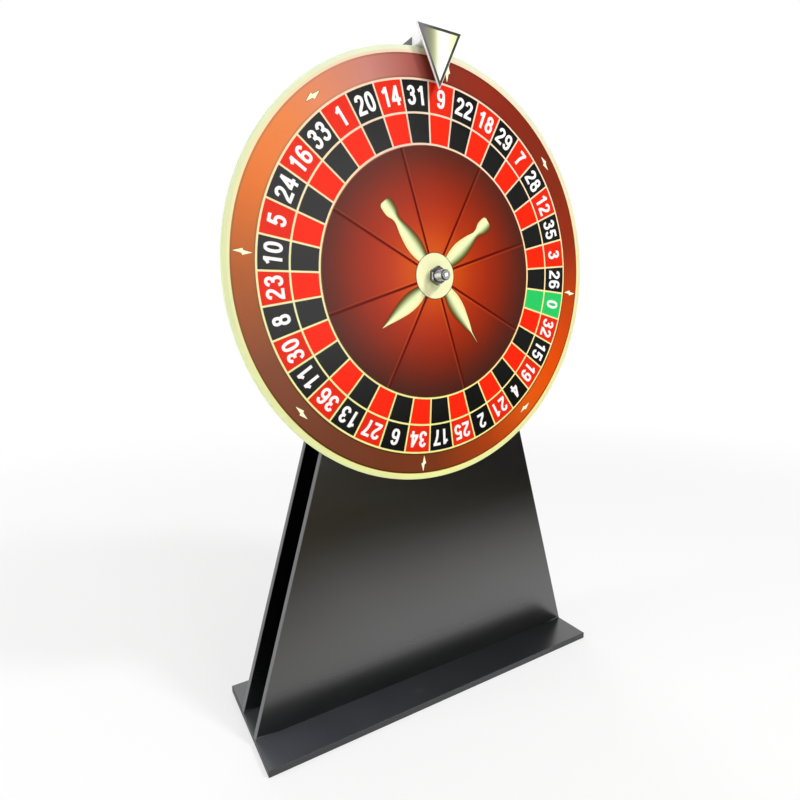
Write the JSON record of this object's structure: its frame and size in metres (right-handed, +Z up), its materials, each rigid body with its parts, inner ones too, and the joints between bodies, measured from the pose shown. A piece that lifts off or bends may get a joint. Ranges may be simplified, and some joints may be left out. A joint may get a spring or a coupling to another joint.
{
  "type": "carnival game wheel",
  "caption": "Round numbered game wheel that spins on ball bearings in front of a black board floor stand, under a fixed triangular pointer.",
  "frame": {"origin": "middle of the base board's underside, on the floor", "axes": "+X to the player's right, +Y away from the player, +Z up; the wheel turns about a line along Y"},
  "size_m": [0.5999, 0.192, 0.962],
  "materials": {
    "black_board": "satin black foamed board",
    "wheel_board": "pale yellow-green board",
    "wheel_print": "glossy laminated print in red, black, brown and cream",
    "pointer_board": "white plastic plate",
    "pointer_print": "bright metallic print with a dark edge",
    "pale_acrylic": "pale acrylic block",
    "bright_steel": "bright plated steel",
    "plain_steel": "turned steel",
    "bearing_steel": "ground and polished steel",
    "dark_screw": "blackened steel",
    "cast_housing": "turned cast aluminium",
    "cage_brass": "machined brass",
    "nylon": "blue nylon"
  },
  "bodies": {
    "stand": {"base_plate": "black_board", "front_upright": "black_board", "rear_upright": "black_board", "lower_rail": "black_board", "base_screws": "dark_screw", "rail_screws": "dark_screw", "front_housing": "cast_housing", "rear_housing": "cast_housing", "front_housing_screws": "plain_steel", "rear_housing_screws": "plain_steel", "front_outer_ring": "bearing_steel", "rear_outer_ring": "bearing_steel", "bridge_block": "black_board", "bridge_screws": "dark_screw", "pointer_spacer": "pale_acrylic", "bracket_screws": "plain_steel", "pointer_plate": "pointer_board", "pointer_print": "pointer_print"},
    "wheel": {"wheel_disc": "wheel_board", "face_sheet": "wheel_print", "hub_flange": "plain_steel", "hub_screws": "plain_steel", "spindle": "bright_steel", "front_washer": "bright_steel", "front_nut": "bright_steel", "front_inner_ring": "bearing_steel", "rear_inner_ring": "bearing_steel", "centre_sleeve": "plain_steel", "rear_sleeve": "plain_steel", "rear_washer": "bright_steel", "rear_nut": "bright_steel", "rear_nut_insert": "nylon"},
    "front_ball_set": {"front_cage": "cage_brass", "front_balls": "bearing_steel"},
    "rear_ball_set": {"rear_cage": "cage_brass", "rear_balls": "bearing_steel"}
  },
  "joints": [
    {"name": "wheel_spin", "type": "hinge", "parent": "stand", "child": "wheel", "pos_m": [0, 0, 0.64], "axis": [0, 1, 0], "continuous": true},
    {"name": "front_cage_spin", "type": "hinge", "parent": "stand", "child": "front_ball_set", "pos_m": [0, -0.0205, 0.64], "axis": [0, 1, 0], "continuous": true},
    {"name": "rear_cage_spin", "type": "hinge", "parent": "stand", "child": "rear_ball_set", "pos_m": [0, 0.0205, 0.64], "axis": [0, 1, 0], "continuous": true}
  ],
  "couplings": [
    {"joint": "front_cage_spin", "follows": "wheel_spin", "ratio": 0.38235},
    {"joint": "rear_cage_spin", "follows": "wheel_spin", "ratio": 0.38235}
  ]
}
